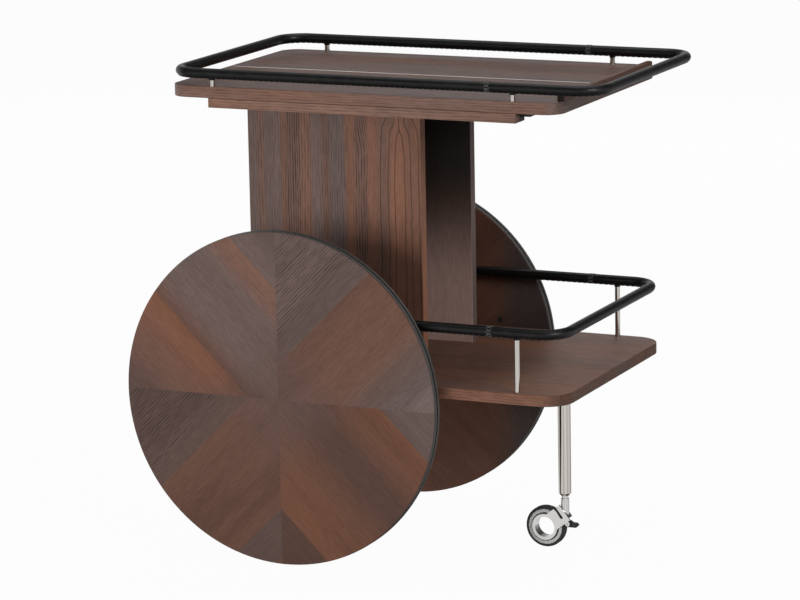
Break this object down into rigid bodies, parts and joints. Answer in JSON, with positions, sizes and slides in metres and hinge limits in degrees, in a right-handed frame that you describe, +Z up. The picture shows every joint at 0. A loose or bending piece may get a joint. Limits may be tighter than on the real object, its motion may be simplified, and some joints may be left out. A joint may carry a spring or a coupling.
{
  "type": "bar cart",
  "caption": "Bar cart with a railed top and shelf on a hollow column, large disc wheels at one end and a swivel caster on a leg at the other.",
  "frame": {"origin": "on the floor, under the middle of the overall length and width", "axes": "+X along the cart towards the push handle, +Y towards the back, +Z up"},
  "size_m": [0.861, 0.537, 0.84],
  "materials": {
    "veneer": "dark stained veneer, satin lacquer",
    "wheel_veneer": "quarter-matched dark stained veneer, satin lacquer",
    "plain_wood": "plain hardwood, unfinished",
    "dark_steel": "dark powder coat",
    "leather": "black leather, hand-stitched, low sheen",
    "polished_steel": "polished",
    "caster_chrome": "satin chrome plate",
    "steel": "turned",
    "hub_alloy": "turned",
    "inlay_metal": "polished",
    "bush_bronze": "sintered",
    "wheel_tyre": "matt rubber with a groove",
    "caster_rubber": "soft matt rubber",
    "black_plastic": "moulded, matt"
  },
  "bodies": {
    "carcass": {"shelf": "veneer", "front_panel": "veneer", "back_panel": "veneer", "left_panel": "veneer", "left_cross_rail": "plain_wood", "right_cross_rail": "plain_wood", "column_dowels": "plain_wood", "front_fascia": "veneer", "back_fascia": "veneer", "front_runner": "dark_steel", "back_runner": "dark_steel", "runner_stops": "dark_steel", "lower_tube": "steel", "lower_leather_front": "leather", "lower_leather_back": "leather", "lower_leather_end": "leather", "lower_end_caps": "polished_steel", "lower_posts": "polished_steel", "lower_collars": "leather", "axle": "steel", "axle_clips": "steel", "axle_spacers": "steel", "front_axle_block": "dark_steel", "back_axle_block": "dark_steel", "underside_screws": "steel", "leg_flange": "polished_steel", "leg_tube": "polished_steel", "leg_plug": "polished_steel", "caster_stem": "polished_steel"},
    "top": {"top_board": "veneer", "centre_inlay": "inlay_metal", "end_upstand": "veneer", "front_slide_strip": "dark_steel", "back_slide_strip": "dark_steel", "slide_shoes": "black_plastic", "upper_tube_main": "steel", "upper_tube_handle": "steel", "upper_leather_main": "leather", "upper_leather_handle": "leather", "upper_spigots": "steel", "upper_posts": "polished_steel", "upper_collars": "leather"},
    "caster_fork": {"caster_housing": "caster_chrome", "caster_retainer": "steel", "brake_pin": "steel"},
    "caster_wheel": {"caster_rim": "caster_chrome", "caster_tyre": "caster_rubber"},
    "brake": {"brake_lever": "black_plastic"},
    "front_wheel": {"front_wheel_disc": "wheel_veneer", "front_wheel_tyre": "wheel_tyre", "front_wheel_hub": "hub_alloy", "front_hub_bush": "bush_bronze", "front_hub_screws": "steel", "front_wheel_plugs": "black_plastic"},
    "back_wheel": {"back_wheel_disc": "wheel_veneer", "back_wheel_tyre": "wheel_tyre", "back_wheel_hub": "hub_alloy", "back_hub_bush": "bush_bronze", "back_hub_screws": "steel", "back_wheel_plugs": "black_plastic"}
  },
  "joints": [
    {"name": "top_slide", "type": "slide", "parent": "carcass", "child": "top", "axis": [1, 0, 0], "range_m": [0, 0.2]},
    {"name": "front_wheel_spin", "type": "hinge", "parent": "carcass", "child": "front_wheel", "pos_m": [-0.1425, -0.2575, 0.288], "axis": [0, 1, 0], "continuous": true},
    {"name": "back_wheel_spin", "type": "hinge", "parent": "carcass", "child": "back_wheel", "pos_m": [-0.1425, 0.2575, 0.288], "axis": [0, 1, 0], "continuous": true},
    {"name": "caster_swivel", "type": "hinge", "parent": "carcass", "child": "caster_fork", "pos_m": [0.268, 0, 0.088], "axis": [0, 0, 1], "continuous": true},
    {"name": "caster_roll", "type": "hinge", "parent": "caster_fork", "child": "caster_wheel", "pos_m": [0.234, 0, 0.036], "axis": [0, 1, 0], "continuous": true},
    {"name": "brake_press", "type": "hinge", "parent": "caster_fork", "child": "brake", "pos_m": [0.276, 0, 0.045], "axis": [0, 1, 0], "range_deg": [0, 11]}
  ]
}
